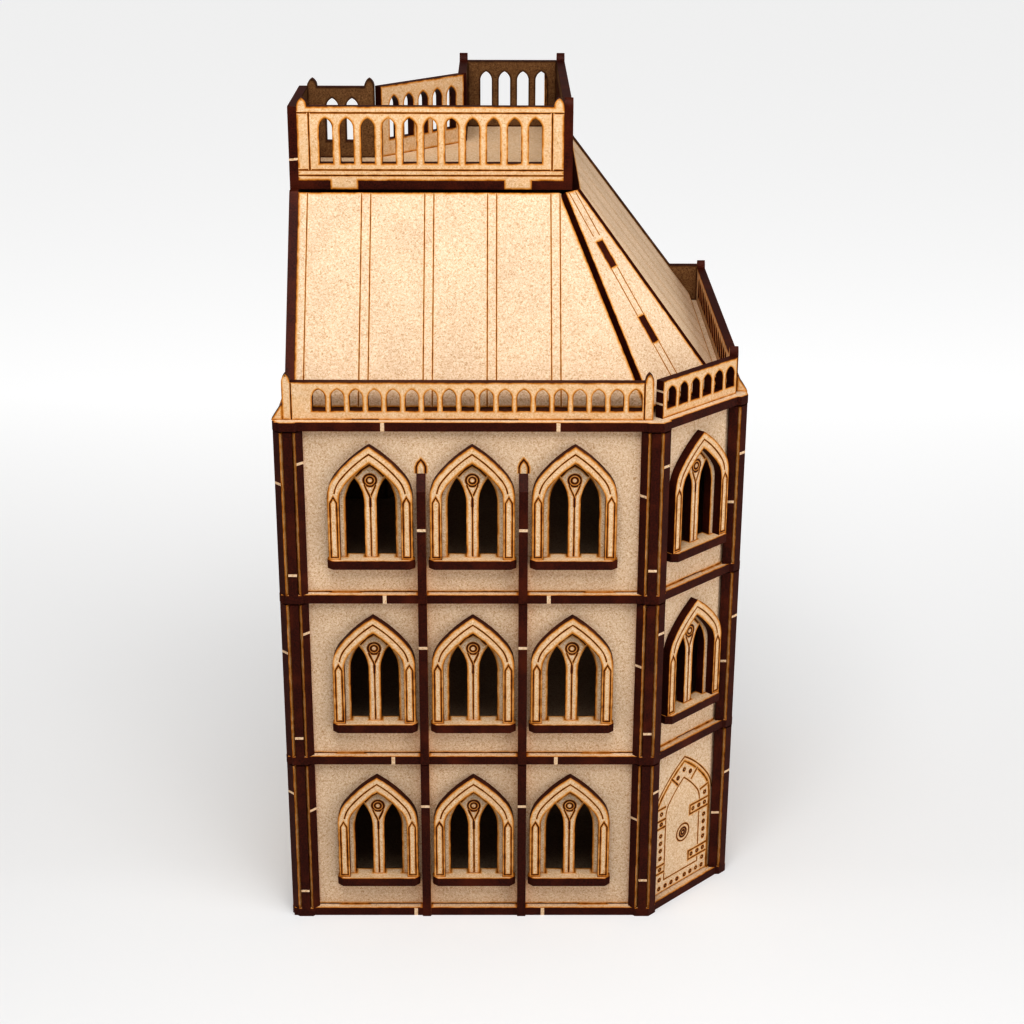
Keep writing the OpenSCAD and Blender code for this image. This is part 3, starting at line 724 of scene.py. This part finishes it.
# Where each railing's middle line starts on the plan, its turn, and its two ends along it, mm
RAILS = {
    "front": (-85.25, -29.05, 0, 1.7, 103.5),
    "left": (-85.25, 15.85, -90, -1.7, 46.6),
    "right": (19.95, -30.75, 90, 0.0, 117.7),
    "rear": (19.95, 85.25, 180, 1.7, 40.3),
    "wing": (-22.05, 85.25, -90, -1.7, 34.8),
    "slanted": (-22.05, 49.65, -135, 0.8, 47.0),
    "back": (-55.85, 15.85, 180, 0.8, 27.7),
}
for side, (x, y, turn, start, end) in RAILS.items():
    node = "deck_" + side + "_rail"
    # Painted shade on the inner faces of all but the slanted railing
    scorched(node, band=1.0, shade_inside=side != "slanted", haze=0.27)
    where = facade(x, y, turn)
    bm = bmesh.new()
    for z in RAIL_LINES:
        drawn_line(bm, where, WALL_FACE, [(start + RAIL_CLEAR, z), (end - RAIL_CLEAR, z)],
                   fade=0.5, rest=0.1)
    for post in (start + RAIL_POST, end - RAIL_POST):
        drawn_line(bm, where, WALL_FACE, [(post, RAIL_LINES[1]), (post, RAIL_LINES[2])],
                   fade=0.5, rest=0.1)
    finish(bm, node + "_lines", node, (board, char))

# The left railing's front end, with the mark of one snapped bridge
RAIL_END_IN = 53.7       # behind the front wall's middle
RAIL_MARK = 299.6        # height
bm = bmesh.new()
patch(bm, FRONT, -RAIL_END_IN, block(0, RAIL_MARK, SHEET, tall=0.9, slant=0.3))
finish(bm, "deck_left_rail_snap_mark", "deck_left_rail", (board,))


# ---- Studio -------------------------------------------------------------------------
# A wide sheet of white paper that gives off a painted glow, one soft box high in front and a
# weaker one on each side. The contrast is raised, so that the rooms behind the windows go black.
bm = bmesh.new()
PAPER_HALF = 6           # half the sheet's width, m
bmesh.ops.create_grid(bm, x_segments=1, y_segments=1, size=PAPER_HALF)
paper_mesh = bpy.data.meshes.new("paper")
bm.to_mesh(paper_mesh)
bm.free()
paper_sheet = bpy.data.objects.new("paper", paper_mesh)
scene.collection.objects.link(paper_sheet)
paper = bpy.data.materials.new("white_paper")
paper.use_nodes = True
shader = paper.node_tree.nodes["Principled BSDF"]
shader.inputs["Base Color"].default_value = linear("#CACACA")
shader.inputs["Roughness"].default_value = 0.9
shader.inputs["Emission Color"].default_value = linear("#FFFFFF")
# Painted glow: the paper itself shines, more strongly from the building's middle to 0.6 m further
# back
place = add_node(paper.node_tree, "ShaderNodeTexCoord").outputs["Object"]
depth = add_node(paper.node_tree, "ShaderNodeSeparateXYZ", Vector=place).outputs["Y"]
glow = add_node(paper.node_tree, "ShaderNodeMapRange", Value=depth, From_Min=-0.05, From_Max=0.6,
                To_Min=0.17, To_Max=0.46)
paper.node_tree.links.new(glow.outputs["Result"], shader.inputs["Emission Strength"])
paper_mesh.materials.append(paper)

world = bpy.data.worlds.new("studio")
world.use_nodes = True
world.node_tree.nodes["Background"].inputs["Color"].default_value = linear("#FFFFFF")
world.node_tree.nodes["Background"].inputs["Strength"].default_value = 0.25
scene.world = world


def soft_box(name, place, aim, size, watts):
    """A square soft lamp that faces a point."""
    data = bpy.data.lights.new(name, "AREA")
    data.size = size
    data.energy = watts
    lamp = bpy.data.objects.new(name, data)
    scene.collection.objects.link(lamp)
    lamp.location = place
    lamp.rotation_euler = (Vector(aim) - Vector(place)).to_track_quat("-Z", "Y").to_euler()


AIM = (0, -0.05, 0.18)   # every lamp points here, a little before the building's middle, m
soft_box("key_lamp", (0, -0.41, 0.76), AIM, size=0.5, watts=3.8)
soft_box("left_lamp", (-0.90, -0.45, 0.40), AIM, size=0.6, watts=1.1)
soft_box("right_lamp", (0.90, -0.55, 0.30), AIM, size=0.6, watts=3.4)

scene.view_settings.view_transform = "Standard"
scene.view_settings.look = "High Contrast"
